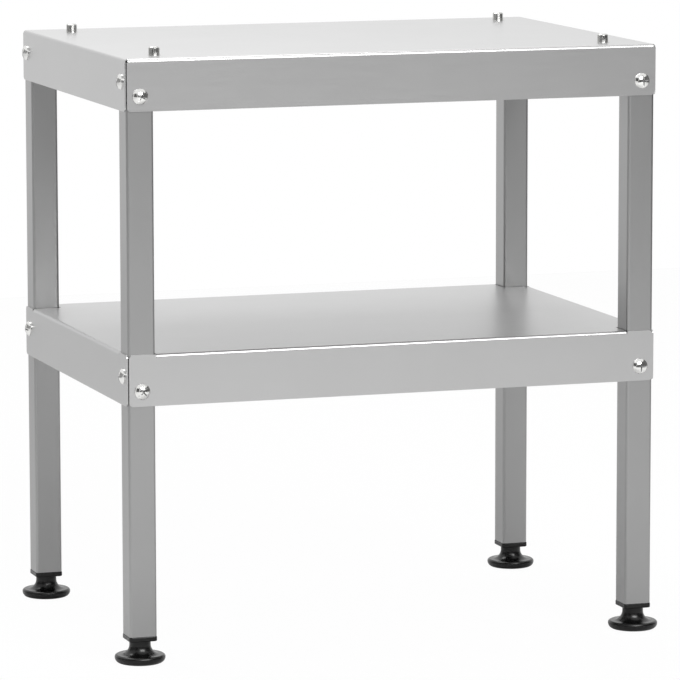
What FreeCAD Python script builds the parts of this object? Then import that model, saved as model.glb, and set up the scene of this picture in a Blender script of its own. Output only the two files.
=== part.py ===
import FreeCAD, Part
import math
import os

import Sketcher

# Two-tier stand in galvanised sheet steel for a table-top smoker.
# Two folded trays are screwed to four square tube legs, locating pins stand on the top,
# and a levelling foot is screwed into the plug in the lower end of each leg.
# Millimetres, +Z up, origin on the floor under the middle of the stand.

SIZES = {
    # Trays
    "stand_width": 400.0,
    "stand_depth": 280.0,
    "top_height": 432.0,
    "shelf_height": 223.0,
    "skirt_height": 37.0,
    "sheet_thickness": 1.0,
    "bend_radius": 1.2,
    "corner_slit": 0.4,
    "skirt_corner_radius": 3.0,
    "leg_notch_gap": 0.8,
    "tab_drop": 0.2,
    # Legs
    "leg_side": 20.0,
    "leg_wall": 1.2,
    "leg_corner_radius": 2.0,
    "leg_top_gap": 0.5,
    # Screws, with their places on the skirts
    "screw_diameter": 5.0,
    "screw_length": 12.0,
    "screw_tip_chamfer": 0.6,
    "screw_head_diameter": 11.2,
    "screw_head_height": 3.4,
    "screw_rim_height": 0.7,
    "screw_hole_play": 0.2,
    "screw_edge_distance": 10.6,
    # Rivet nuts, one behind each screw
    "nut_diameter": 7.0,
    "nut_length": 13.0,
    "nut_bulge_diameter": 9.5,
    "nut_bulge_length": 4.0,
    "nut_row_gap": 3.0,
    "nut_hole_play": 0.05,
    "nut_thread_play": 0.05,
    # Locating pins
    "pin_diameter": 8.0,
    "pin_height": 6.0,
    "pin_chamfer": 0.8,
    "pin_shank_diameter": 9.0,
    "pin_head_diameter": 11.0,
    "pin_head_height": 1.5,
    "pin_hole_play": 0.05,
    "pin_leg_gap": 3.5,
    # Tube plugs
    "flange_thickness": 3.6,
    "flange_lip": 0.3,
    "flange_edge_radius": 0.8,
    "rib_depth": 0.6,
    "rib_thickness": 1.2,
    "rib_pitch": 4.2,
    "rib_count": 4,
    "plug_play": 0.05,
    # Threaded inserts in the plugs
    "insert_wall": 1.5,
    "insert_cover": 2.4,
    "insert_groove_depth": 0.5,
    "insert_groove_length": 4.0,
    "insert_play": 0.05,
    # Studs of the levelling feet
    "stud_diameter": 8.0,
    "stud_chamfer": 1.0,
    "stud_head_diameter": 13.0,
    "stud_head_height": 3.0,
    "stud_head_clearance": 1.0,
    "stud_play": 0.05,
    "stud_hole_play": 0.3,
    "stud_reserve": 1.0,
    "foot_travel": 12.5,
    # Bases of the levelling feet
    "foot_diameter": 36.4,
    "foot_rim_height": 4.1,
    "foot_disc_height": 6.1,
    "foot_land_width": 1.6,
    "foot_ring_width": 2.4,
    "foot_recess_depth": 1.0,
    "neck_diameter": 15.3,
    "neck_length": 3.35,
}

CORNERS = {
    "front_left": (-1, -1),
    "front_right": (1, -1),
    "rear_left": (-1, 1),
    "rear_right": (1, 1),
}

doc = FreeCAD.newDocument("stand")
sheet = doc.addObject("Spreadsheet::Sheet", "Sizes")
for row, (alias, number) in enumerate(SIZES.items(), 1):
    sheet.set(f"A{row}", alias)
    sheet.set(f"B{row}", str(number))
    sheet.setAlias(f"B{row}", alias)
doc.recompute()


class Size:
    """A length, with the formula that ties it to the cells of the sheet."""

    def __init__(self, value, formula):
        self.value = value
        self.formula = formula

    def __add__(self, other):
        return Size(self.value + other.value, f"({self.formula} + {other.formula})")

    def __sub__(self, other):
        return Size(self.value - other.value, f"({self.formula} - {other.formula})")

    def __mul__(self, other):
        if isinstance(other, Size):
            return Size(self.value * other.value, f"({self.formula} * {other.formula})")
        return Size(self.value * other, f"({self.formula} * {other})")

    __rmul__ = __mul__

    def __truediv__(self, other):
        if isinstance(other, Size):
            return Size(self.value / other.value, f"({self.formula} / {other.formula})")
        return Size(self.value / other, f"({self.formula} / {other})")

    def __neg__(self):
        return self * -1


def size(alias):
    return Size(float(sheet.get(alias)), f"Sizes.{alias}")


def bind(item, **formulas):
    for name, length in formulas.items():
        item.setExpression(name.replace("__", "."), length.formula)


# Sketches

def new_body(label):
    body = doc.addObject("PartDesign::Body", label)
    body.Label = label
    return body


def new_sketch(body, role, height=None):
    """A sketch on one of the body's own origin planes, raised by a height where one is given."""
    plane = next(item for item in body.Origin.OriginFeatures if item.Role == role)
    sketch = body.newObject("Sketcher::SketchObject", f"{body.Label}_sketch")
    sketch.AttachmentSupport = [(plane, "")]
    sketch.MapMode = "FlatFace"
    if height:
        bind(sketch, AttachmentOffset__Base__z=height)
    return sketch


def coordinate(length):
    return length.value if isinstance(length, Size) else float(length)


def add_side(sketch, start, end, radius):
    """One side of an outline, as its number in the sketch and its two end positions."""
    a = FreeCAD.Vector(coordinate(start[0]), coordinate(start[1]), 0)
    b = FreeCAD.Vector(coordinate(end[0]), coordinate(end[1]), 0)
    if radius is None:
        return sketch.addGeometry(Part.LineSegment(a, b)), 1, 2
    chord = b - a
    turn = math.copysign(1, radius.value)
    reach = math.sqrt(max(radius.value ** 2 - chord.Length ** 2 / 4, 0))
    towards = FreeCAD.Vector(-chord.y, chord.x, 0).normalize() * turn
    centre = (a + b) / 2 + towards * reach
    circle = Part.Circle(centre, FreeCAD.Vector(0, 0, 1), abs(radius.value))
    first, last = (a, b) if turn > 0 else (b, a)
    angles = [math.atan2(p.y - centre.y, p.x - centre.x) for p in (first, last)]
    number = sketch.addGeometry(Part.ArcOfCircle(circle, *angles))
    return (number, 1, 2) if turn > 0 else (number, 2, 1)


def lock_point(sketch, number, position, x, y):
    """Ties a point to the sketch's axes; a plain zero puts it on the axis."""
    for axis, kind, length in ((-2, "DistanceX", x), (-1, "DistanceY", y)):
        if isinstance(length, Size):
            rule = Sketcher.Constraint(kind, -1, 1, number, position, length.value)
            index = sketch.addConstraint(rule)
            sketch.setExpression(f"Constraints[{index}]", length.formula)
        else:
            sketch.addConstraint(Sketcher.Constraint("PointOnObject", number, position, axis))


def lock_radius(sketch, number, radius):
    index = sketch.addConstraint(Sketcher.Constraint("Radius", number, radius.value))
    sketch.setExpression(f"Constraints[{index}]", radius.formula)


def outline(sketch, *points):
    """A closed outline through (x, y) points. A third value makes the side that ends there an arc:
    its radius, positive where the outline turns left and negative where it turns right."""
    radii = [point[2] if len(point) > 2 else None for point in points]
    sides = [add_side(sketch, points[i - 1], points[i], radii[i]) for i in range(len(points))]
    for i, (number, _, end) in enumerate(sides):
        following, start, _ = sides[(i + 1) % len(sides)]
        sketch.addConstraint(Sketcher.Constraint("Coincident", number, end, following, start))
        lock_point(sketch, number, end, points[i][0], points[i][1])
        if radii[i]:
            lock_radius(sketch, number, abs_size(radii[i]))
    return sketch


def abs_size(length):
    return length if length.value > 0 else -length


def rounded_square(sketch, side, radius):
    edge = side / 2
    inner = edge - radius
    return outline(
        sketch,
        (inner, -edge),
        (edge, -inner, radius),
        (edge, inner),
        (inner, edge, radius),
        (-inner, edge),
        (-edge, inner, radius),
        (-edge, -inner),
        (-inner, -edge, radius),
    )


def circles(sketch, centres, radius):
    for x, y in centres:
        centre = FreeCAD.Vector(coordinate(x), coordinate(y), 0)
        normal = FreeCAD.Vector(0, 0, 1)
        number = sketch.addGeometry(Part.Circle(centre, normal, radius.value))
        lock_point(sketch, number, 3, x, y)
        lock_radius(sketch, number, radius)
    return sketch


# Features

def pad(body, sketch, length, both_sides=False, downwards=False):
    feature = body.newObject("PartDesign::Pad", f"{body.Label}_pad")
    feature.Profile = sketch
    bind(feature, Length=length)
    feature.SideType = "Symmetric" if both_sides else "One side"
    feature.Reversed = downwards
    doc.recompute()
    return feature


def pocket(body, sketch, depth=None, both_sides=False, along_normal=False):
    """Cuts the sketch out of the body, right through where no depth is given."""
    volume = body.Shape.Volume
    feature = body.newObject("PartDesign::Pocket", f"{body.Label}_pocket")
    feature.Profile = sketch
    feature.SideType = "Symmetric" if both_sides else "One side"
    feature.Reversed = along_normal
    if depth:
        bind(feature, Length=depth)
    else:
        feature.Type = "ThroughAll"
    doc.recompute()
    if not body.Shape.Volume < volume:
        raise ValueError(f"{feature.Label} cuts nothing")
    return feature


def revolve(body, *points):
    """A solid of revolution about the body's Z axis, from (radius, height) points."""
    sketch = outline(new_sketch(body, "XZ_Plane"), *points)
    feature = body.newObject("PartDesign::Revolution", f"{body.Label}_revolution")
    feature.Profile = sketch
    feature.ReferenceAxis = (sketch, ["V_Axis"])
    feature.Angle = 360
    doc.recompute()
    return feature


def fillet(body, radius, wanted):
    """Rounds the edges of the body for which wanted(edge) is true."""
    base = body.Tip
    names = [f"Edge{i}" for i, edge in enumerate(base.Shape.Edges, 1) if wanted(edge)]
    feature = body.newObject("PartDesign::Fillet", f"{body.Label}_fillet")
    feature.Base = (base, names)
    bind(feature, Radius=radius)
    doc.recompute()
    return feature


def place(item, x, y, z):
    bind(item, Placement__Base__x=x, Placement__Base__y=y, Placement__Base__z=z)


# Sizes that follow from the driving ones

sheet_thickness = size("sheet_thickness")
bend_outside = sheet_thickness + size("bend_radius")
half_width = size("stand_width") / 2
half_depth = size("stand_depth") / 2
skirt_end_x = half_width - sheet_thickness - size("corner_slit")
skirt_end_y = half_depth - sheet_thickness - size("corner_slit")
top_height = size("top_height")
shelf_height = size("shelf_height")
leg_side = size("leg_side")
leg_wall = size("leg_wall")
leg_bore = leg_side - leg_wall * 2
leg_x = half_width - sheet_thickness - leg_side / 2
leg_y = half_depth - sheet_thickness - leg_side / 2

stud_radius = size("stud_diameter") / 2
foot_radius = size("foot_diameter") / 2
neck_radius = size("neck_diameter") / 2
rim_top_radius = size("foot_disc_height") - size("foot_rim_height")
flare_radius = foot_radius - rim_top_radius - size("foot_land_width") - neck_radius
flare_top = size("foot_disc_height") + flare_radius
neck_top = flare_top + size("neck_length")
leg_base = neck_top + size("flange_thickness")
leg_length = top_height - bend_outside - size("leg_top_gap") - leg_base

screw_radius = size("screw_diameter") / 2
front_screw_drop = size("skirt_height") - size("screw_edge_distance")
side_screw_drop = front_screw_drop - size("nut_diameter") - size("nut_row_gap")

pin_radius = size("pin_diameter") / 2
shank_radius = size("pin_shank_diameter") / 2
pin_inset = sheet_thickness + leg_side + size("pin_leg_gap") + size("pin_head_diameter") / 2
pin_x = half_width - pin_inset
pin_y = half_depth - pin_inset

plug_depth = size("rib_pitch") * size("rib_count")
insert_radius = stud_radius + size("insert_wall")
insert_floor = size("insert_cover")
insert_length = plug_depth - size("insert_cover") * 2
stud_seat = size("foot_recess_depth") + size("stud_head_clearance") + size("stud_head_height")
stud_top = leg_base + insert_floor + insert_length + size("foot_travel") + size("stud_reserve")


# Trays

def skirt_profile(sketch, half_span):
    """The folded sheet seen along two of its skirts, with its top face at zero."""
    bottom = -size("skirt_height")
    inside = half_span - sheet_thickness
    flat_inside = half_span - bend_outside
    radius = size("bend_radius")
    return outline(
        sketch,
        (-half_span, bottom),
        (-inside, bottom),
        (-inside, -bend_outside),
        (-flat_inside, -sheet_thickness, -radius),
        (flat_inside, -sheet_thickness),
        (inside, -bend_outside, -radius),
        (inside, bottom),
        (half_span, bottom),
        (half_span, -bend_outside),
        (flat_inside, 0, bend_outside),
        (-flat_inside, 0),
        (-half_span, -bend_outside, bend_outside),
    )


def corner_rectangles(sketch, inner_x, outer_x, inner_y, outer_y):
    """The same rectangle in each of the four corners."""
    for side, end in CORNERS.values():
        outline(
            sketch,
            (inner_x * side, inner_y * end),
            (outer_x * side, inner_y * end),
            (outer_x * side, outer_y * end),
            (inner_x * side, outer_y * end),
        )
    return sketch


def skirt_ends(body, height, depth):
    """Runs the ends of the skirts on from the legs to the corner slits, down from that height."""
    inside_x = half_width - sheet_thickness
    inside_y = half_depth - sheet_thickness
    ends = new_sketch(body, "XY_Plane", height)
    corner_rectangles(ends, inside_x - leg_side, skirt_end_x, inside_y, half_depth)
    corner_rectangles(ends, inside_x, half_width, inside_y - leg_side, skirt_end_y)
    pad(body, ends, depth, downwards=True)


def at_skirt_end(edge, drop):
    """True for an edge across the sheet at the free end of a skirt, that far below the tray's top."""
    middle = edge.CenterOfMass
    ends = (
        abs(abs(middle.x) - skirt_end_x.value) < 0.01,
        abs(abs(middle.y) - skirt_end_y.value) < 0.01,
    )
    across = edge.Length < sheet_thickness.value + 0.01
    return across and any(ends) and abs(middle.z + drop.value) < 0.01


def folded_tray(label, height):
    """A tray of one sheet, open at its corners: below the bends, each skirt runs on close to the next."""
    body = new_body(label)
    place(body, half_width * 0, half_depth * 0, height)
    across = skirt_profile(new_sketch(body, "YZ_Plane"), half_depth)
    pad(body, across, (half_width - bend_outside) * 2, both_sides=True)
    along = skirt_profile(new_sketch(body, "XZ_Plane"), half_width)
    pad(body, along, (half_depth - bend_outside) * 2, both_sides=True)
    skirt_ends(body, -bend_outside, size("skirt_height") - bend_outside)
    return body


def screw_holes(body):
    radius = screw_radius + size("screw_hole_play")
    front = [(leg_x, -front_screw_drop), (-leg_x, -front_screw_drop)]
    side = [(leg_y, -side_screw_drop), (-leg_y, -side_screw_drop)]
    pocket(body, circles(new_sketch(body, "XZ_Plane"), front, radius), both_sides=True)
    pocket(body, circles(new_sketch(body, "YZ_Plane"), side, radius), both_sides=True)


def top_tray():
    body = folded_tray("top_tray", top_height)
    fillet(body, size("skirt_corner_radius"), lambda e: at_skirt_end(e, size("skirt_height")))
    screw_holes(body)
    places = [(pin_x * side, pin_y * end) for side, end in CORNERS.values()]
    holes = circles(new_sketch(body, "XY_Plane"), places, shank_radius + size("pin_hole_play"))
    pocket(body, holes, depth=sheet_thickness)
    return body


def lower_shelf():
    """The same tray with its corners cut away round the legs, which leaves free tabs outside them."""
    body = folded_tray("lower_shelf", shelf_height)
    cut = sheet_thickness + leg_side + size("leg_notch_gap")
    notches = new_sketch(body, "XY_Plane")
    corner_rectangles(notches, half_width - cut, half_width, half_depth - cut, half_depth)
    pocket(body, notches, depth=bend_outside)
    skirt_ends(body, -size("tab_drop"), bend_outside - size("tab_drop"))
    for drop in (size("tab_drop"), size("skirt_height")):
        fillet(body, size("skirt_corner_radius"), lambda e: at_skirt_end(e, drop))
    screw_holes(body)
    return body


# Legs, and the plugs and inserts in their lower ends

def leg(corner):
    """A square tube with a rivet nut hole in each outer wall at both trays."""
    side, end = CORNERS[corner]
    body = new_body(f"leg_{corner}")
    place(body, leg_x * side, leg_y * end, leg_base)
    outer = rounded_square(new_sketch(body, "XY_Plane"), leg_side, size("leg_corner_radius"))
    pad(body, outer, leg_length)
    inner_radius = size("leg_corner_radius") - leg_wall
    bore = rounded_square(new_sketch(body, "XY_Plane"), leg_bore, inner_radius)
    pocket(body, bore, along_normal=True)
    radius = size("nut_diameter") / 2 + size("nut_hole_play")
    front = [(0, height - front_screw_drop - leg_base) for height in (top_height, shelf_height)]
    sides = [(0, height - side_screw_drop - leg_base) for height in (top_height, shelf_height)]
    front_holes = circles(new_sketch(body, "XZ_Plane"), front, radius)
    pocket(body, front_holes, along_normal=end < 0)
    side_holes = circles(new_sketch(body, "YZ_Plane"), sides, radius)
    pocket(body, side_holes, along_normal=side > 0)
    return body


def lies_flat(edge):
    """True for an edge round the top or the underside of a plug's flange."""
    heights = [vertex.Z for vertex in edge.Vertexes]
    return max(heights) - min(heights) < 0.01


def tube_plug(corner):
    """A ribbed plastic plug with a flange under the tube and a pocket moulded round its insert."""
    side, end = CORNERS[corner]
    body = new_body(f"tube_plug_{corner}")
    place(body, leg_x * side, leg_y * end, leg_base)
    lip = size("flange_lip")
    corner_radius = size("leg_corner_radius") + lip
    flange = rounded_square(new_sketch(body, "XY_Plane"), leg_side + lip * 2, corner_radius)
    pad(body, flange, size("flange_thickness"), downwards=True)
    fillet(body, size("flange_edge_radius"), lies_flat)
    rib_side = leg_bore - size("plug_play") * 2
    rib_radius = size("leg_corner_radius") - leg_wall
    core_side = rib_side - size("rib_depth") * 2
    core = rounded_square(new_sketch(body, "XY_Plane"), core_side, rib_radius)
    pad(body, core, plug_depth)
    first_rib = (size("rib_pitch") - size("rib_thickness")) / 2
    ribs = rounded_square(new_sketch(body, "XY_Plane", first_rib), rib_side, rib_radius)
    rib = pad(body, ribs, size("rib_thickness"))
    row = body.newObject("PartDesign::LinearPattern", f"{body.Label}_ribs")
    row.Originals = [rib]
    row.Direction = (ribs, ["N_Axis"])
    row.Mode = "Spacing"
    bind(row, Offset=size("rib_pitch"), Occurrences=size("rib_count"))
    body.Tip = row
    doc.recompute()
    stud_hole = circles(new_sketch(body, "XY_Plane"), [(0, 0)], stud_radius + size("stud_hole_play"))
    pocket(body, stud_hole, both_sides=True)
    insert_top = new_sketch(body, "XY_Plane", insert_floor + insert_length)
    circles(insert_top, [(0, 0)], insert_radius + size("insert_play"))
    pocket(body, insert_top, depth=insert_length)
    return body


def thread_insert(corner):
    """A steel bush with a waist that the plastic of the plug grips."""
    side, end = CORNERS[corner]
    body = new_body(f"thread_insert_{corner}")
    place(body, leg_x * side, leg_y * end, leg_base + insert_floor)
    bore = stud_radius + size("stud_play")
    waist = insert_radius - size("insert_groove_depth")
    waist_low = (insert_length - size("insert_groove_length")) / 2
    waist_high = waist_low + size("insert_groove_length")
    revolve(
        body,
        (bore, 0),
        (insert_radius, 0),
        (insert_radius, waist_low),
        (waist, waist_low),
        (waist, waist_high),
        (insert_radius, waist_high),
        (insert_radius, insert_length),
        (bore, insert_length),
    )
    return body


# Levelling feet

def foot_stud(corner):
    """The foot's steel stud, with a round head that the base is moulded over."""
    side, end = CORNERS[corner]
    body = new_body(f"foot_stud_{corner}")
    place(body, leg_x * side, leg_y * end, stud_seat * 0)
    head = size("stud_head_diameter") / 2
    revolve(
        body,
        (0, stud_seat - size("stud_head_height")),
        (head, stud_seat - size("stud_head_height")),
        (head, stud_seat),
        (stud_radius, stud_seat),
        (stud_radius, stud_top - size("stud_chamfer")),
        (stud_radius - size("stud_chamfer"), stud_top),
        (0, stud_top),
    )
    return body


def foot_base(corner):
    """The moulded base: a disc with a round rim that flares up into a neck."""
    side, end = CORNERS[corner]
    body = new_body(f"foot_base_{corner}")
    place(body, leg_x * side, leg_y * end, stud_seat * 0)
    bore = stud_radius + size("stud_play")
    head = size("stud_head_diameter") / 2 + size("stud_play")
    rim_height = size("foot_rim_height")
    ring = foot_radius - rim_height
    recess = ring - size("foot_ring_width")
    revolve(
        body,
        (head, size("foot_recess_depth")),
        (recess, size("foot_recess_depth")),
        (recess, 0),
        (ring, 0),
        (foot_radius, rim_height, rim_height),
        (foot_radius - rim_top_radius, size("foot_disc_height"), rim_top_radius),
        (neck_radius + flare_radius, size("foot_disc_height")),
        (neck_radius, flare_top, -flare_radius),
        (neck_radius, neck_top),
        (bore, neck_top),
        (bore, stud_seat),
        (head, stud_seat),
    )
    return body


# Locating pins

def locating_pin(corner):
    """A turned pin pressed in from below: its shank fills the hole, flush with the top."""
    side, end = CORNERS[corner]
    body = new_body(f"locating_pin_{corner}")
    place(body, pin_x * side, pin_y * end, top_height)
    head = size("pin_head_diameter") / 2
    head_bottom = -(sheet_thickness + size("pin_head_height"))
    revolve(
        body,
        (0, head_bottom),
        (head, head_bottom),
        (head, -sheet_thickness),
        (shank_radius, -sheet_thickness),
        (shank_radius, 0),
        (pin_radius, 0),
        (pin_radius, size("pin_height") - size("pin_chamfer")),
        (pin_radius - size("pin_chamfer"), size("pin_height")),
        (0, size("pin_height")),
    )
    return body


# Screws and rivet nuts

def screw():
    """One domed screw along Z, with the underside of its head at zero."""
    body = new_body("screw")
    head = size("screw_head_diameter") / 2
    rim = size("screw_rim_height")
    crown = size("screw_head_height") - rim
    dome = (head * head + crown * crown) / (crown * 2)
    tip = -size("screw_length")
    chamfer = size("screw_tip_chamfer")
    revolve(
        body,
        (screw_radius, tip + chamfer),
        (screw_radius, rim * 0),
        (head, rim * 0),
        (head, rim),
        (0, rim + crown, dome),
        (0, tip),
        (screw_radius - chamfer, tip),
    )
    return body


def rivet_nut():
    """One rivet nut along Z, flush with the outside of the tube at zero and bulged behind its wall."""
    body = new_body("rivet_nut")
    bore = screw_radius + size("nut_thread_play")
    outside = size("nut_diameter") / 2
    bulge = size("nut_bulge_diameter") / 2
    bulge_end = leg_wall + size("nut_bulge_length")
    revolve(
        body,
        (bore, -size("nut_length")),
        (outside, -size("nut_length")),
        (outside, -bulge_end),
        (bulge, -(leg_wall + size("nut_bulge_length") / 2)),
        (bulge, -leg_wall),
        (outside, -leg_wall),
        (outside, 0),
        (bore, 0),
    )
    return body


def row_of_fasteners(label, fastener, height, inset):
    """Two copies at each corner of a tray, pointing out of the skirts, as one group of solids."""
    copies = []
    for corner, (side, end) in CORNERS.items():
        faces = (
            ((0, end, 0), leg_x * side, (half_depth - inset) * end, front_screw_drop),
            ((side, 0, 0), (half_width - inset) * side, leg_y * end, side_screw_drop),
        )
        for direction, x, y, drop in faces:
            copy = doc.addObject("App::Link", f"{label}_{corner}")
            copy.setLink(fastener)
            turn = FreeCAD.Rotation(FreeCAD.Vector(0, 0, 1), FreeCAD.Vector(*direction))
            copy.Placement = FreeCAD.Placement(FreeCAD.Vector(), turn)
            place(copy, x, y, height - drop)
            copies.append(copy)
    group = doc.addObject("Part::Compound", label)
    group.Label = label
    group.Links = copies
    doc.recompute()
    return group


def build():
    nodes = [top_tray(), lower_shelf()]
    for make in (leg, tube_plug, thread_insert, foot_stud, foot_base, locating_pin):
        nodes += [make(corner) for corner in CORNERS]
    one_screw = screw()
    one_nut = rivet_nut()
    for tray, height in (("top", top_height), ("shelf", shelf_height)):
        nodes.append(row_of_fasteners(f"{tray}_screws", one_screw, height, sheet_thickness * 0))
        nodes.append(row_of_fasteners(f"{tray}_rivet_nuts", one_nut, height, sheet_thickness))
    return nodes


def check(nodes):
    """Stops on a failed object or an empty or broken solid, before anything is written."""
    failed = [item.Label for item in doc.Objects if {"Invalid", "Error"} & set(item.State)]
    broken = [n.Label for n in nodes if n.Shape.isNull() or not n.Shape.isValid()]
    if failed or broken:
        raise ValueError(f"failed objects {failed}, broken shapes {broken}")


def write(nodes):
    os.makedirs("parts", exist_ok=True)
    for node in nodes:
        node.Shape.exportStep(f"parts/{node.Label}.step")


nodes = build()
doc.recompute()
check(nodes)
write(nodes)
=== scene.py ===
"""Two-tier galvanised steel stand: its fittings, its finishes and a plain white stage."""

import math

import bpy
from bpy.props import FloatProperty, FloatVectorProperty, PointerProperty
from mathutils import Matrix, Vector


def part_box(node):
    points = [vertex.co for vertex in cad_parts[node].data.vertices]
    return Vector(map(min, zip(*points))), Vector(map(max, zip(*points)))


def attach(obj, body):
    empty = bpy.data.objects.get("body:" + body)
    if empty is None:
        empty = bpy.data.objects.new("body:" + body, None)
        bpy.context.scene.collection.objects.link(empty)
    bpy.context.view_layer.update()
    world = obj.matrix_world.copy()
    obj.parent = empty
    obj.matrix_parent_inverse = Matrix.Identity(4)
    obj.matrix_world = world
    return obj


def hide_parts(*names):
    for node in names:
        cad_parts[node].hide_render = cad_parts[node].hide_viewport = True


bl_info = {
    "name": "Two-tier steel stand",
    "version": (1, 0, 0),
    "blender": (4, 5, 0),
    "location": "View3D > Sidebar > Stand",
    "description": "Models the fittings of a two-tier steel stand, finishes its parts and sets its stage",
    "category": "Object",
}

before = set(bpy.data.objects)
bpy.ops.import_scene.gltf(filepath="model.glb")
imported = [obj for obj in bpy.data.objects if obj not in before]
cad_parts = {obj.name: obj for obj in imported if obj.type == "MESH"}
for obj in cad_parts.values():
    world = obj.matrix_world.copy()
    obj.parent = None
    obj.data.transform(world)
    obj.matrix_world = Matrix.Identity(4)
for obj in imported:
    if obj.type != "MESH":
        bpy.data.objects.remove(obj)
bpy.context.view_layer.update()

MM = 0.001
CORNERS = ("front_left", "front_right", "rear_left", "rear_right")
TRAYS = {"top_tray": "top_screws", "lower_shelf": "shelf_screws"}
ROUND_SEGMENTS = 64
SCREW_SEGMENTS = 48
STUD_SEGMENTS = 32
CURTAIN_SEGMENTS = 72
ARC_STEPS = 10
MERGE_DISTANCE = 0.001 * MM
BEVEL_ANGLE = math.radians(40)
SMOOTH_ANGLE = math.radians(35)

# Degrees by which each screw happened to stop turning, in the order of screw_places.
SCREW_TURNS = {
    "top_tray": (62, 2, 8, 71, 33, 4, 84, 12),
    "lower_shelf": (42, 5, 88, 25, 67, 80, 15, 38),
}

# Galvanised finishes: bright colour, dull colour, and the grain's size along X, Y and Z in millimetres.
# Rolling grain is 0.1 mm wide. It is drawn 0.6 mm wide, so that a trace of it shows.
GALVANISED = {
    "satin_galvanised_sheet": ("sheet", "sheet_dull", (30, 0.6, 0.6)),
    "satin_galvanised_tube": ("tube", "tube_dull", (0.6, 0.6, 60)),
}

# Plated finishes: colour, smoothest and roughest face, and the size of the tool's marks in millimetres.
PLATED = {
    # Rolled smooth before plating: sharp white highlights.
    "bright_nickel_plate": ("plating", 0.07, 0.14, 0.4),
    # Fine turning marks: the highlights are a little softer.
    "turned_nickel_plate": ("turned", 0.12, 0.22, 0.3),
    # Painted shade for the cross recess: a greyer, darker colour than the dome round it, and a duller face,
    # so that the recess reads dark.
    "unpolished_recess": ("recess", 0.25, 0.4, 0.2),
    # Plain zinc: a soft grey sheen.
    "zinc_plated_steel": ("zinc", 0.26, 0.4, 0.5),
}

# Stage, in metres and in degrees right of the front. The ambient light is a share of the white background,
# and the veil is the share of that background that shows through the floor.
AMBIENT = 0.38
FLOOR_SIZE = 3.6
FLOOR_VEIL = 0.97
CURTAINS = (
    # Name, cloth, radius, first and last direction, lower and upper edge.
    ("front_cloth", "grey", 3.0, -35, 55, 0.1, 0.95),
    ("left_cloth", "grey", 3.0, -75, -35, 0.1, 2.2),
    ("side_cloth", "pale", 3.0, -140, -75, 0.1, 1.6),
    ("right_cloth", "grey", 1.6, 31, 105, 0.05, 1.4),
)
SOFTBOXES = (
    # Name, place, target, width, height, radiance.
    ("front_softbox", (0.2, -2.0, 1.7), (0.0, 0.0, 0.3), 1.6, 0.9, 11.9),
    ("back_softbox", (-0.2, 0.8, 2.0), (0.0, 0.0, 0.2), 1.6, 1.0, 4.7),
)


def linear(hex_colour):
    """The linear colour, with alpha, of an sRGB hex value such as #a0b0c0."""
    channels = [int(hex_colour[i:i + 2], 16) / 255 for i in (1, 3, 5)]
    return [c / 12.92 if c <= 0.04045 else ((c + 0.055) / 1.055) ** 2.4 for c in channels] + [1.0]


def centre(node):
    low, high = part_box(node)
    return (low + high) / 2


def length(name, description, millimetres):
    return FloatProperty(
        name=name,
        description=description,
        default=millimetres * MM,
        min=0.0,
        unit="LENGTH",
    )


def colour(name, description, hex_colour):
    return FloatVectorProperty(
        name=name,
        description=description,
        default=linear(hex_colour),
        size=4,
        min=0.0,
        max=1.0,
        subtype="COLOR",
    )


def angle(name, description, degrees):
    return FloatProperty(
        name=name,
        description=description,
        default=math.radians(degrees),
        subtype="ANGLE",
    )


class StandSizes(bpy.types.PropertyGroup):
    """Sizes of the fittings that are modelled here."""

    screw_head: length("Screw head", "Diameter of the domed screw heads", 11.2)
    screw_rim: length("Screw rim", "Height of the straight rim under the dome", 0.7)
    screw_shank: length("Screw shank", "Diameter of the screw's shank", 5.0)
    screw_length: length("Screw length", "Length of the shank under the head", 12.0)
    screw_chamfer: length("Screw chamfer", "Chamfer on the tip of the shank", 0.6)
    recess_span: length("Recess span", "Width of the cross recess from tip to tip", 8.4)
    recess_wing: length("Recess wing", "Width of one wing of the cross recess", 0.95)
    recess_floor: length("Recess floor", "Length of the flat in the middle of the recess", 1.4)
    recess_depth: length("Recess depth", "Depth of the cross recess below the crown", 2.2)
    pin: length("Pin", "Diameter of a locating pin above the sheet", 8.0)
    pin_chamfer: length("Pin chamfer", "Chamfer on the top of a locating pin", 0.8)
    pin_shank: length("Pin shank", "Diameter of the pin's shank in the sheet", 9.0)
    pin_head: length("Pin head", "Height of the pin's head under the sheet", 1.5)
    stud: length("Stud", "Diameter over the stud's thread", 7.96)
    stud_chamfer: length("Stud chamfer", "Chamfer on the end of a stud", 1.0)
    stud_head: length("Stud head", "Height of the stud's head in the base", 3.0)
    thread_pitch: length("Thread pitch", "Travel of a levelling foot in one turn", 1.25)
    thread_depth: length("Thread depth", "Depth of the stud's thread", 0.65)
    foot_rim: length("Foot rim", "Height at which the base is widest", 4.1)
    foot_disc: length("Foot disc", "Height of the disc of the base", 6.1)
    foot_land: length("Foot land", "Width of the flat round the flare", 1.6)
    foot_ring: length("Foot ring", "Width of the ring that the base stands on", 2.4)
    foot_recess: length("Foot recess", "Depth of the recess inside the ring", 1.0)
    foot_neck: length("Foot neck", "Diameter of the neck of the base", 15.3)
    foot_bore: length("Foot bore", "Diameter of the hole for the stud in the base", 8.1)
    head_play: length("Head play", "Gap between the stud's head and the base", 0.05)
    soft_edge: length("Edge rounding", "Rounding of moulded and turned edges", 0.2)


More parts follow.
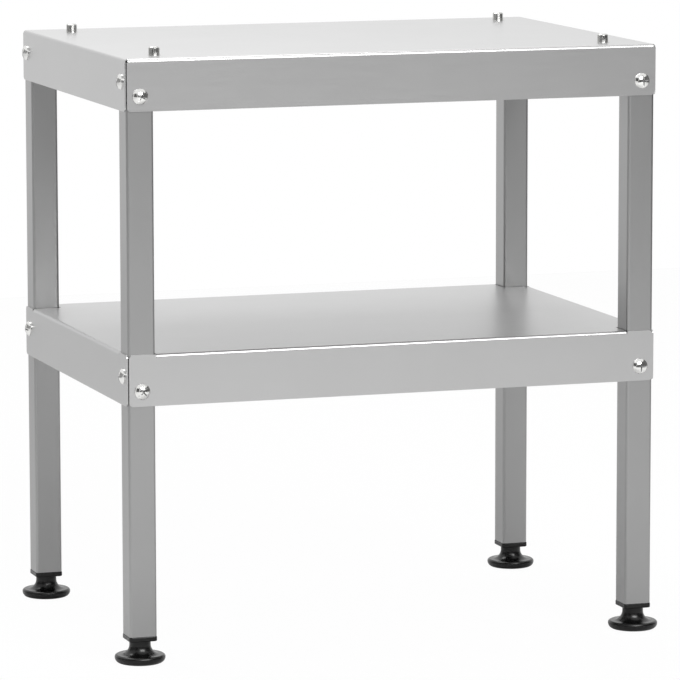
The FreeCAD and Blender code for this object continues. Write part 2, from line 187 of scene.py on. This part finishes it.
class StandColours(bpy.types.PropertyGroup):
    """Colours of the finishes."""

    sheet: colour("Sheet", "Galvanised sheet of the trays", "#bebebe")
    sheet_dull: colour("Dull sheet", "Duller patches of the sheet", "#bababa")
    tube: colour("Tube", "Galvanised tube of the legs", "#a3a3a3")
    tube_dull: colour("Dull tube", "Duller patches of the tube", "#9f9f9f")
    plating: colour("Bright plating", "Screws", "#e6e6e4")
    turned: colour("Turned plating", "Locating pins", "#c6c6c4")
    # Painted shade: the recess colour is darker than the plating so that the cross recess reads dark, as
    # shade in the hollow would make it.
    recess: colour("Recess", "Unpolished floor of the screws' recesses", "#a8a8a8")
    zinc: colour("Zinc plating", "Studs, inserts and rivet nuts", "#c6c6bf")
    plastic: colour("Plastic", "Moulded plugs and feet", "#0d0d0d")
    floor: colour("Floor", "Floor under the stand", "#eeeeee")
    cloth: colour("Cloth", "Grey cloths on the camera's side of the studio", "#707070")
    pale_cloth: colour("Pale cloth", "Pale cloth on the left of the studio", "#bcbcbc")


class StandStage(bpy.types.PropertyGroup):
    """Place of the camera."""

    camera_place: FloatVectorProperty(
        name="Camera place",
        description="Where the camera stands",
        default=(-1.12554, -3.39388, 0.71766),
        subtype="TRANSLATION",
        unit="LENGTH",
    )
    camera_turn: angle("Camera turn", "Turn of the camera about the vertical", -18.4193)
    camera_dip: angle("Camera dip", "Angle by which the camera looks down", 8.1459)
    camera_roll: angle("Camera roll", "Roll of the camera about its axis", -0.0921)
    lens: FloatProperty(
        name="Lens",
        description="Focal length on a 36 mm sensor, in millimetres",
        default=256.685,
        min=1.0,
        unit="CAMERA",
    )


# Finishes

def add_node(tree, kind, inputs=None, **settings):
    """Adds a node with its settings, and gives each input a value or another node's output."""
    node = tree.nodes.new(kind)
    for name, value in settings.items():
        setattr(node, name, value)
    for name, value in (inputs or {}).items():
        if isinstance(value, bpy.types.NodeSocket):
            tree.links.new(value, node.inputs[name])
        else:
            node.inputs[name].default_value = value
    return node


def empty_material(name):
    material = bpy.data.materials.new(name)
    material.use_nodes = True
    material.node_tree.nodes.clear()
    return material


def galvanised(name, bright, dull, grain):
    """Skin-passed galvanised steel. The rolls leave a satin zinc face with long soft reflections."""
    cloud_size = 45 * MM
    material = empty_material(name)
    tree = material.node_tree
    place = add_node(tree, "ShaderNodeTexCoord").outputs["Object"]
    stretch = [1 / (size * MM) for size in grain]
    along = add_node(tree, "ShaderNodeMapping", {"Vector": place, "Scale": stretch})
    lines = add_node(
        tree,
        "ShaderNodeTexNoise",
        {"Vector": along.outputs["Vector"], "Scale": 1.0, "Detail": 3.0},
    )
    clouds = add_node(
        tree,
        "ShaderNodeTexNoise",
        {"Vector": place, "Scale": 1 / cloud_size, "Detail": 2.0},
    )
    # Of a colour mix, sockets 0, 6 and 7 are the share and the two colours, and output 2 is the result.
    tone = add_node(
        tree,
        "ShaderNodeMix",
        {0: clouds.outputs["Fac"], 6: dull, 7: bright},
        data_type="RGBA",
    )
    satin = add_node(
        tree,
        "ShaderNodeMapRange",
        {"Value": lines.outputs["Fac"], "To Min": 0.3, "To Max": 0.38},
    )
    bump = add_node(
        tree,
        "ShaderNodeBump",
        {"Height": lines.outputs["Fac"], "Strength": 0.04, "Distance": 0.05 * MM},
    )
    steel = add_node(
        tree,
        "ShaderNodeBsdfPrincipled",
        {
            "Base Color": tone.outputs[2],
            "Metallic": 1.0,
            "Roughness": satin.outputs["Result"],
            "Normal": bump.outputs["Normal"],
        },
    )
    add_node(tree, "ShaderNodeOutputMaterial", {"Surface": steel.outputs["BSDF"]})
    return material


def plated(name, tint, smoothest, roughest, mark_size):
    """Plated steel. The plating keeps the fine marks of the tool under a bright metal face."""
    material = empty_material(name)
    tree = material.node_tree
    place = add_node(tree, "ShaderNodeTexCoord").outputs["Object"]
    marks = add_node(
        tree,
        "ShaderNodeTexNoise",
        {"Vector": place, "Scale": 1 / mark_size, "Detail": 4.0},
    )
    shine = add_node(
        tree,
        "ShaderNodeMapRange",
        {"Value": marks.outputs["Fac"], "To Min": smoothest, "To Max": roughest},
    )
    bump = add_node(
        tree,
        "ShaderNodeBump",
        {"Height": marks.outputs["Fac"], "Strength": 0.06, "Distance": 0.02 * MM},
    )
    steel = add_node(
        tree,
        "ShaderNodeBsdfPrincipled",
        {
            "Base Color": tint,
            "Metallic": 1.0,
            "Roughness": shine.outputs["Result"],
            "Normal": bump.outputs["Normal"],
        },
    )
    add_node(tree, "ShaderNodeOutputMaterial", {"Surface": steel.outputs["BSDF"]})
    return material


def moulded_nylon(name, tint):
    """Black nylon moulded in a spark-eroded tool: a half-gloss skin with a fine even grain."""
    grain_size = 0.35 * MM
    material = empty_material(name)
    tree = material.node_tree
    place = add_node(tree, "ShaderNodeTexCoord").outputs["Object"]
    grain = add_node(
        tree,
        "ShaderNodeTexNoise",
        {"Vector": place, "Scale": 1 / grain_size, "Detail": 2.0},
    )
    gloss = add_node(
        tree,
        "ShaderNodeMapRange",
        {"Value": grain.outputs["Fac"], "To Min": 0.2, "To Max": 0.3},
    )
    bump = add_node(
        tree,
        "ShaderNodeBump",
        {"Height": grain.outputs["Fac"], "Strength": 0.12, "Distance": 0.03 * MM},
    )
    nylon = add_node(
        tree,
        "ShaderNodeBsdfPrincipled",
        {
            "Base Color": tint,
            "Roughness": gloss.outputs["Result"],
            "IOR": 1.53,
            "Specular IOR Level": 0.3,
            "Normal": bump.outputs["Normal"],
        },
    )
    add_node(tree, "ShaderNodeOutputMaterial", {"Surface": nylon.outputs["BSDF"]})
    return material


def finish(key):
    """The material of that finish, made when it is first asked for."""
    made = bpy.data.materials.get(key)
    if made:
        return made
    colours = bpy.context.scene.stand_colours
    if key in GALVANISED:
        bright, dull, grain = GALVANISED[key]
        return galvanised(key, getattr(colours, bright), getattr(colours, dull), grain)
    if key in PLATED:
        tint, smoothest, roughest, mark_size = PLATED[key]
        return plated(key, getattr(colours, tint), smoothest, roughest, mark_size * MM)
    if key == "moulded_black_nylon":
        return moulded_nylon(key, colours.plastic)
    raise KeyError(key)


def dress(piece, *keys):
    """Gives a piece or a CAD node its finishes, in the order of its material slots."""
    piece.data.materials.clear()
    for key in keys:
        piece.data.materials.append(finish(key))


# Modelling

def start_piece():
    """Leaves edit mode and clears the selection, which still holds the CAD nodes after loading."""
    if bpy.context.mode != "OBJECT":
        bpy.ops.object.mode_set(mode="OBJECT")
    bpy.ops.object.select_all(action="DESELECT")


def only(piece):
    start_piece()
    piece.select_set(True)
    bpy.context.view_layer.objects.active = piece


def choose(piece, kind, wanted):
    """Enters edit mode with only those vertices or polygons selected that are wanted."""
    only(piece)
    bpy.ops.object.mode_set(mode="EDIT")
    bpy.ops.mesh.select_all(action="DESELECT")
    bpy.ops.object.mode_set(mode="OBJECT")
    for element in getattr(piece.data, kind):
        element.select = wanted(element)
    bpy.ops.object.mode_set(mode="EDIT")


def remove(piece):
    only(piece)
    bpy.ops.object.delete()


def duplicate(piece):
    only(piece)
    bpy.ops.object.duplicate(linked=False)
    return bpy.context.active_object


def apply_place(piece):
    only(piece)
    bpy.ops.object.transform_apply(location=True, rotation=True, scale=True)
    return piece


def clean_mesh(piece):
    """Merges doubles, drops slivers, closes the ends and turns the faces outwards."""
    only(piece)
    bpy.ops.object.mode_set(mode="EDIT")
    bpy.ops.mesh.select_all(action="SELECT")
    bpy.ops.mesh.remove_doubles(threshold=MERGE_DISTANCE)
    bpy.ops.mesh.dissolve_degenerate(threshold=MERGE_DISTANCE)
    bpy.ops.mesh.fill_holes(sides=0)
    bpy.ops.mesh.select_all(action="SELECT")
    bpy.ops.mesh.normals_make_consistent(inside=False)
    bpy.ops.object.mode_set(mode="OBJECT")
    return piece


def modify(piece, kind, **settings):
    """Adds a modifier with its settings and applies it."""
    only(piece)
    bpy.ops.object.modifier_add(type=kind)
    modifier = piece.modifiers[-1]
    for name, value in settings.items():
        setattr(modifier, name, value)
    bpy.ops.object.modifier_apply(modifier=modifier.name)
    return piece


def shade_smooth(piece):
    only(piece)
    bpy.ops.object.shade_smooth_by_angle(angle=SMOOTH_ANGLE)
    return piece


def round_edges(piece, width):
    """Rounds the sharp edges and shades the piece smooth, with the large faces kept straight."""
    modify(
        piece,
        "BEVEL",
        width=width,
        segments=2,
        limit_method="ANGLE",
        angle_limit=BEVEL_ANGLE,
        use_clamp_overlap=True,
    )
    return modify(shade_smooth(piece), "WEIGHTED_NORMAL", keep_sharp=True)


def combine(piece, operation, tool):
    """Cuts the tool's shape out of the piece, or joins it on, and removes the tool."""
    modify(piece, "BOOLEAN", operation=operation, solver="EXACT", object=tool)
    remove(tool)
    return clean_mesh(piece)


def arc(middle, radius, start, end):
    """Points (radius, height) of an arc in a round piece's profile, between two angles in degrees."""
    steps = [math.radians(start + (end - start) * i / ARC_STEPS) for i in range(ARC_STEPS + 1)]
    return [(middle[0] + radius * math.cos(a), middle[1] + radius * math.sin(a)) for a in steps]


def turned(name, profile, segments=ROUND_SEGMENTS):
    """A round piece about Z: a ring is extruded and scaled from point to point of its profile."""
    start_piece()
    radius, height = profile[0]
    bpy.ops.mesh.primitive_circle_add(vertices=segments, radius=radius, location=(0, 0, height))
    piece = bpy.context.active_object
    piece.name = name
    bpy.ops.object.mode_set(mode="EDIT")
    bpy.ops.mesh.select_all(action="SELECT")
    for next_radius, next_height in profile[1:]:
        rise = (0, 0, next_height - height)
        bpy.ops.mesh.extrude_edges_move(TRANSFORM_OT_translate={"value": rise})
        share = next_radius / radius
        bpy.ops.transform.resize(value=(share, share, 1), center_override=(0, 0, next_height))
        radius, height = next_radius, next_height
    bpy.ops.object.mode_set(mode="OBJECT")
    return clean_mesh(apply_place(piece))


def place_at_corners(piece, body, node):
    """Puts a copy of a piece on its axis at each corner. Each copy replaces that corner's CAD node."""
    for corner in CORNERS:
        copy = duplicate(piece)
        copy.name = f"{piece.name}_{corner}"
        middle = centre(f"{node}_{corner}")
        copy.location = (middle.x, middle.y, 0)
        apply_place(copy)
        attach(copy, body.format(corner=corner))
        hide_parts(f"{node}_{corner}")
    remove(piece)


# Pieces

class STAND_OT_trays(bpy.types.Operator):
    """Finishes the folded top tray and lower shelf"""

    bl_idname = "stand.trays"
    bl_label = "Trays"

    def execute(self, context):
        for tray in TRAYS:
            dress(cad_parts[tray], "satin_galvanised_sheet")
        return {"FINISHED"}


class STAND_OT_legs(bpy.types.Operator):
    """Finishes the four square tube legs"""

    bl_idname = "stand.legs"
    bl_label = "Legs"

    def execute(self, context):
        for corner in CORNERS:
            dress(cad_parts[f"leg_{corner}"], "satin_galvanised_tube")
        return {"FINISHED"}


class STAND_OT_inner_fittings(bpy.types.Operator):
    """Finishes the threaded inserts and the rivet nuts inside the legs"""

    bl_idname = "stand.inner_fittings"
    bl_label = "Inserts and rivet nuts"

    def execute(self, context):
        names = [f"thread_insert_{corner}" for corner in CORNERS]
        for name in names + ["top_rivet_nuts", "shelf_rivet_nuts"]:
            dress(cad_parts[name], "zinc_plated_steel")
        return {"FINISHED"}


def dome_radius(sizes, head_height):
    """Radius of the sphere that the dome of a screw's head is part of."""
    head = sizes.screw_head / 2
    crown = head_height - sizes.screw_rim
    return (head ** 2 + crown ** 2) / (2 * crown)


def screw_blank(sizes, head_height):
    """One domed screw along Z, with the underside of its head at zero."""
    head = sizes.screw_head / 2
    shank = sizes.screw_shank / 2
    tip = sizes.screw_chamfer
    dome = dome_radius(sizes, head_height)
    middle = (0, head_height - dome)
    edge = math.degrees(math.acos(head / dome))
    profile = [
        (shank - tip, -sizes.screw_length),
        (shank, tip - sizes.screw_length),
        (shank, 0),
        (head, 0),
        *arc(middle, dome, edge, 90),
    ]
    return turned("domed_screw", profile, SCREW_SEGMENTS)


def recess_tool(sizes, head_height, turn):
    """One wing of the cross recess. Its floor rises from the middle to the dome at both tips."""
    dome = dome_radius(sizes, head_height)
    tip = sizes.recess_span / 2
    floor = sizes.recess_floor / 2
    floor_taper = 0.8
    depth = sizes.recess_depth
    tip_depth = dome - math.sqrt(dome ** 2 - tip ** 2)
    reach = floor + (tip - floor) * depth / (depth - tip_depth)
    start_piece()
    bpy.ops.mesh.primitive_cube_add(size=1, location=(0, 0, head_height - depth / 2))
    wing = bpy.context.active_object
    wing.scale = (2 * reach, sizes.recess_wing, depth)
    apply_place(wing)
    choose(wing, "polygons", lambda face: face.normal.z < -0.5)
    bpy.ops.transform.resize(value=(floor / reach, floor_taper, 1), center_override=(0, 0, 0))
    choose(wing, "polygons", lambda face: face.normal.z > 0.5)
    bpy.ops.transform.translate(value=(0, 0, sizes.soft_edge))
    bpy.ops.object.mode_set(mode="OBJECT")
    wing.rotation_euler.z = turn
    return apply_place(wing)


def in_recess(face, sizes, head_height):
    """True for a face of the recess, which gets the painted shade: it lies inside the dome, above the rim.
    """
    least_depth = 0.02 * MM
    dome = dome_radius(sizes, head_height)
    depth = dome - (face.center - Vector((0, 0, head_height - dome))).length
    return face.center.z > sizes.screw_rim and depth > least_depth


def cross_screw(sizes, head_height):
    """One domed screw with its cross recess, whose faces get a finish of their own: a darker colour that is
    painted shade.
    """
    screw = screw_blank(sizes, head_height)
    for turn in (0, math.pi / 2):
        combine(screw, "DIFFERENCE", recess_tool(sizes, head_height, turn))
    dress(screw, "bright_nickel_plate", "unpolished_recess")
    # The recess faces take the second slot, whose darker colour is painted shade.
    for face in screw.data.polygons:
        face.material_index = int(in_recess(face, sizes, head_height))
    return shade_smooth(screw)


def drive(screw, place, out, turn):
    """A copy of a screw in its place, with its head outwards and its recess turned by those degrees."""
    copy = duplicate(screw)
    copy.rotation_mode = "QUATERNION"
    spin = Matrix.Rotation(math.radians(turn), 3, "Z").to_quaternion()
    copy.rotation_quaternion = out.to_track_quat("Z", "Y") @ spin
    copy.location = place
    return apply_place(copy)


def join(pieces, name):
    start_piece()
    for piece in pieces:
        piece.select_set(True)
    bpy.context.view_layer.objects.active = pieces[0]
    bpy.ops.object.join()
    pieces[0].name = name
    return pieces[0]


def screw_places(tray, screws, head):
    """Place and outward direction of each of a tray's screws."""
    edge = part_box(tray)[1]
    low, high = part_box(screws)
    for corner in CORNERS:
        leg = centre(f"leg_{corner}")
        side, end = math.copysign(1, leg.x), math.copysign(1, leg.y)
        yield Vector((leg.x, edge.y * end, low.z + head)), Vector((0, end, 0))
        yield Vector((edge.x * side, leg.y, high.z - head)), Vector((side, 0, 0))


class STAND_OT_screws(bpy.types.Operator):
    """Models the domed screws of both trays, each with its cross recess turned its own way"""

    bl_idname = "stand.screws"
    bl_label = "Screws"

    def execute(self, context):
        sizes = context.scene.stand_sizes
        for tray, screws in TRAYS.items():
            head_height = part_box(screws)[1].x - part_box(tray)[1].x
            screw = cross_screw(sizes, head_height)
            places = screw_places(tray, screws, sizes.screw_head / 2)
            turns = SCREW_TURNS[tray]
            copies = [drive(screw, place, out, turn) for (place, out), turn in zip(places, turns)]
            remove(screw)
            group = join(copies, f"domed_{screws}")
            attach(group, "stand")
            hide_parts(screws)
        return {"FINISHED"}


class STAND_OT_pins(bpy.types.Operator):
    """Models the turned locating pins that stand on the top tray"""

    bl_idname = "stand.pins"
    bl_label = "Locating pins"

    def execute(self, context):
        sizes = context.scene.stand_sizes
        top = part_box("top_tray")[1].z
        low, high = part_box("locating_pin_front_left")
        head = (high.x - low.x) / 2
        shank = sizes.pin_shank / 2
        radius = sizes.pin / 2
        under = low.z + sizes.pin_head
        profile = [
            (head - sizes.soft_edge, low.z),
            (head, low.z + sizes.soft_edge),
            (head, under),
            (shank, under),
            (shank, top),
            (radius, top),
            (radius, high.z - sizes.pin_chamfer),
            (radius - sizes.pin_chamfer, high.z),
        ]
        pin = turned("turned_pin", profile)
        round_edges(pin, sizes.soft_edge)
        dress(pin, "turned_nickel_plate")
        place_at_corners(pin, "stand", "locating_pin")
        return {"FINISHED"}


def threaded_stud(sizes, bottom, top, head):
    """A stud with a helical thread, and the round head that the base is moulded over."""
    crest = sizes.stud / 2
    root = crest - sizes.thread_depth
    seat = bottom + sizes.stud_head
    profile = [
        (head, bottom),
        (head, seat),
        (root, seat),
        (root, top - sizes.stud_chamfer),
        (crest - sizes.stud_chamfer, top),
    ]
    core = turned("threaded_stud", profile, STUD_SEGMENTS)
    pitch = sizes.thread_pitch
    turns = int((top - sizes.stud_chamfer - seat) / pitch) - 1
    start_piece()
    bpy.ops.mesh.primitive_plane_add(size=1)
    thread = bpy.context.active_object
    # Radius of each corner of the ridge, and its height as a share of the pitch. Its foot lies in the core.
    sunk = root * 0.97
    ridge = ((sunk, 0.05), (sunk, 0.95), (crest, 0.44), (crest, 0.56))
    for vertex, (radius, share) in zip(thread.data.vertices, ridge):
        vertex.co = (radius, 0, seat + share * pitch)
    modify(
        thread,
        "SCREW",
        axis="Z",
        angle=2 * math.pi,
        screw_offset=pitch,
        iterations=turns,
        steps=STUD_SEGMENTS,
        render_steps=STUD_SEGMENTS,
    )
    return shade_smooth(combine(core, "UNION", clean_mesh(thread)))


class STAND_OT_feet(bpy.types.Operator):
    """Models the levelling feet: a moulded base on a threaded stud"""

    bl_idname = "stand.feet"
    bl_label = "Levelling feet"

    def execute(self, context):
        sizes = context.scene.stand_sizes
        low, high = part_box("foot_base_front_left")
        rim = (high.x - low.x) / 2
        top = high.z
        head_low, head_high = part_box("foot_stud_front_left")
        head = (head_high.x - head_low.x) / 2
        pocket = head + sizes.head_play
        seat = head_low.z + sizes.stud_head
        bore = sizes.foot_bore / 2
        ring = rim - sizes.foot_rim
        shoulder = sizes.foot_disc - sizes.foot_rim
        neck = sizes.foot_neck / 2
        flare = rim - shoulder - sizes.foot_land - neck
        profile = [
            (pocket, sizes.foot_recess),
            (ring - sizes.foot_ring, sizes.foot_recess),
            (ring - sizes.foot_ring, 0),
            *arc((ring, sizes.foot_rim), sizes.foot_rim, -90, 0),
            *arc((rim - shoulder, sizes.foot_rim), shoulder, 0, 90)[1:],
            *arc((neck + flare, sizes.foot_disc + flare), flare, 270, 180),
            (neck, top),
            (bore, top),
            (bore, seat),
            (pocket, seat),
            (pocket, sizes.foot_recess),
        ]
        base = turned("moulded_foot", profile)
        round_edges(base, sizes.soft_edge)
        dress(base, "moulded_black_nylon")
        place_at_corners(base, "foot_base_{corner}", "foot_base")
        stud = threaded_stud(sizes, head_low.z, head_high.z, head)
        dress(stud, "zinc_plated_steel")
        place_at_corners(stud, "foot_stud_{corner}", "foot_stud")
        return {"FINISHED"}


class STAND_OT_plugs(bpy.types.Operator):
    """Finishes the moulded plugs in the lower ends of the legs"""

    bl_idname = "stand.plugs"
    bl_label = "Tube plugs"

    def execute(self, context):
        for corner in CORNERS:
            dress(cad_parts[f"tube_plug_{corner}"], "moulded_black_nylon")
        return {"FINISHED"}


# Stage

def is_ray(tree, *kinds):
    """One for rays of any of the given kinds, else zero."""
    light_path = add_node(tree, "ShaderNodeLightPath")
    shown = light_path.outputs[kinds[0]]
    for kind in kinds[1:]:
        either = add_node(
            tree,
            "ShaderNodeMath",
            {0: shown, 1: light_path.outputs[kind]},
            operation="MAXIMUM",
        )
        shown = either.outputs["Value"]
    return shown


def white_world(ambient):
    """A world that is white behind the stand, and lights it more softly than that."""
    world = bpy.data.worlds.new("white_studio")
    world.use_nodes = True
    tree = world.node_tree
    tree.nodes.clear()
    light = add_node(tree, "ShaderNodeBackground", {"Color": (1, 1, 1, 1), "Strength": ambient})
    white = add_node(tree, "ShaderNodeBackground", {"Color": (1, 1, 1, 1), "Strength": 1.0})
    shown = is_ray(tree, "Is Camera Ray", "Is Glossy Ray", "Is Transmission Ray")
    mix = add_node(
        tree,
        "ShaderNodeMixShader",
        {0: shown, 1: light.outputs[0], 2: white.outputs[0]},
    )
    add_node(tree, "ShaderNodeOutputWorld", {"Surface": mix.outputs[0]})
    return world


def veil_floor(tint, veil):
    """A pale matt floor through which the white background shows, so that only a soft shadow is left."""
    material = empty_material("pale_floor")
    tree = material.node_tree
    matt = add_node(tree, "ShaderNodeBsdfDiffuse", {"Color": tint})
    clear = add_node(tree, "ShaderNodeBsdfTransparent")
    share = add_node(
        tree,
        "ShaderNodeMath",
        {0: is_ray(tree, "Is Camera Ray"), 1: veil},
        operation="MULTIPLY",
    )
    mix = add_node(
        tree,
        "ShaderNodeMixShader",
        {0: share.outputs["Value"], 1: matt.outputs[0], 2: clear.outputs[0]},
    )
    add_node(tree, "ShaderNodeOutputMaterial", {"Surface": mix.outputs[0]})
    return material


def studio_cloth(name, tint):
    """Matt studio cloth, which takes light out of the reflections on its side."""
    material = empty_material(name)
    tree = material.node_tree
    cloth = add_node(tree, "ShaderNodeBsdfDiffuse", {"Color": tint})
    add_node(tree, "ShaderNodeOutputMaterial", {"Surface": cloth.outputs[0]})
    return material


def bearing(place):
    """Direction of a place from the middle of the stage, in degrees right of the front."""
    return math.degrees(math.atan2(place.x, -place.y))


def curtain(name, cloth, radius, start, end, low, high):
    """A curved curtain round the stand, from one direction to another in degrees right of the front."""
    start_piece()
    bpy.ops.mesh.primitive_circle_add(
        vertices=CURTAIN_SEGMENTS,
        radius=radius,
        location=(0, 0, low),
    )
    piece = bpy.context.active_object
    piece.name = name
    choose(piece, "vertices", lambda vertex: not start <= bearing(vertex.co) <= end)
    bpy.ops.mesh.delete(type="VERT")
    bpy.ops.mesh.select_all(action="SELECT")
    bpy.ops.mesh.extrude_edges_move(TRANSFORM_OT_translate={"value": (0, 0, high - low)})
    bpy.ops.object.mode_set(mode="OBJECT")
    apply_place(piece)
    piece.data.materials.append(cloth)
    piece.visible_camera = False


def softbox(name, place, target, width, height, radiance):
    """A rectangular lamp that faces a point, as bright as the given radiance."""
    start_piece()
    bpy.ops.object.light_add(type="AREA", location=place)
    lamp = bpy.context.active_object
    lamp.name = name
    lamp.data.shape = "RECTANGLE"
    lamp.data.size = width
    lamp.data.size_y = height
    lamp.data.energy = radiance * math.pi * width * height
    lamp.rotation_mode = "QUATERNION"
    lamp.rotation_quaternion = (Vector(target) - Vector(place)).to_track_quat("-Z", "Y")
    lamp.visible_camera = False


def stage_camera(stage):
    """The camera, turned about the vertical, dipped and rolled."""
    turn = (
        Matrix.Rotation(stage.camera_turn, 3, "Z")
        @ Matrix.Rotation(math.pi / 2 - stage.camera_dip, 3, "X")
        @ Matrix.Rotation(stage.camera_roll, 3, "Z")
    )
    start_piece()
    bpy.ops.object.camera_add(location=stage.camera_place, rotation=turn.to_euler())
    camera = bpy.context.active_object
    camera.name = "camera"
    camera.data.sensor_width = 36.0
    camera.data.lens = stage.lens
    camera.data.clip_end = 100.0
    return camera


class STAND_OT_stage(bpy.types.Operator):
    """Sets the floor, the lamps, the white background and the camera"""

    bl_idname = "stand.stage"
    bl_label = "Stage"

    def execute(self, context):
        scene = context.scene
        colours = scene.stand_colours
        scene.world = white_world(AMBIENT)
        scene.view_settings.view_transform = "Standard"

        start_piece()
        bpy.ops.mesh.primitive_plane_add(size=FLOOR_SIZE, location=(0, 0, 0))
        floor = context.active_object
        floor.name = "floor"
        floor.data.materials.append(veil_floor(colours.floor, FLOOR_VEIL))

        cloths = {
            "grey": studio_cloth("grey_cloth", colours.cloth),
            "pale": studio_cloth("pale_cloth", colours.pale_cloth),
        }
        for name, cloth, *span in CURTAINS:
            curtain(name, cloths[cloth], *span)
        for settings in SOFTBOXES:
            softbox(*settings)
        scene.camera = stage_camera(scene.stand_stage)
        return {"FINISHED"}


# Panel and registration

class VIEW3D_PT_stand(bpy.types.Panel):
    """Lists the pieces of the stand"""

    bl_label = "Two-tier stand"
    bl_idname = "VIEW3D_PT_stand"
    bl_space_type = "VIEW_3D"
    bl_region_type = "UI"
    bl_category = "Stand"

    def draw(self, context):
        for operator in PIECES:
            self.layout.operator(operator.bl_idname)
        for key in GROUPS:
            group = getattr(context.scene, key)
            column = self.layout.column()
            for name in group.bl_rna.properties.keys():
                if name not in ("rna_type", "name"):
                    column.prop(group, name)


PIECES = (
    STAND_OT_trays,
    STAND_OT_legs,
    STAND_OT_inner_fittings,
    STAND_OT_screws,
    STAND_OT_pins,
    STAND_OT_plugs,
    STAND_OT_feet,
    STAND_OT_stage,
)
GROUPS = {
    "stand_sizes": StandSizes,
    "stand_colours": StandColours,
    "stand_stage": StandStage,
}


def register():
    for group in GROUPS.values():
        bpy.utils.register_class(group)
    for name, group in GROUPS.items():
        setattr(bpy.types.Scene, name, PointerProperty(type=group))
    for operator in PIECES:
        bpy.utils.register_class(operator)
    bpy.utils.register_class(VIEW3D_PT_stand)


def unregister():
    bpy.utils.unregister_class(VIEW3D_PT_stand)
    for operator in reversed(PIECES):
        bpy.utils.unregister_class(operator)
    for name in GROUPS:
        delattr(bpy.types.Scene, name)
    for group in GROUPS.values():
        bpy.utils.unregister_class(group)


def main():
    register()
    for operator in PIECES:
        category, name = operator.bl_idname.split(".")
        getattr(getattr(bpy.ops, category), name)()


if __name__ == "__main__":
    main()
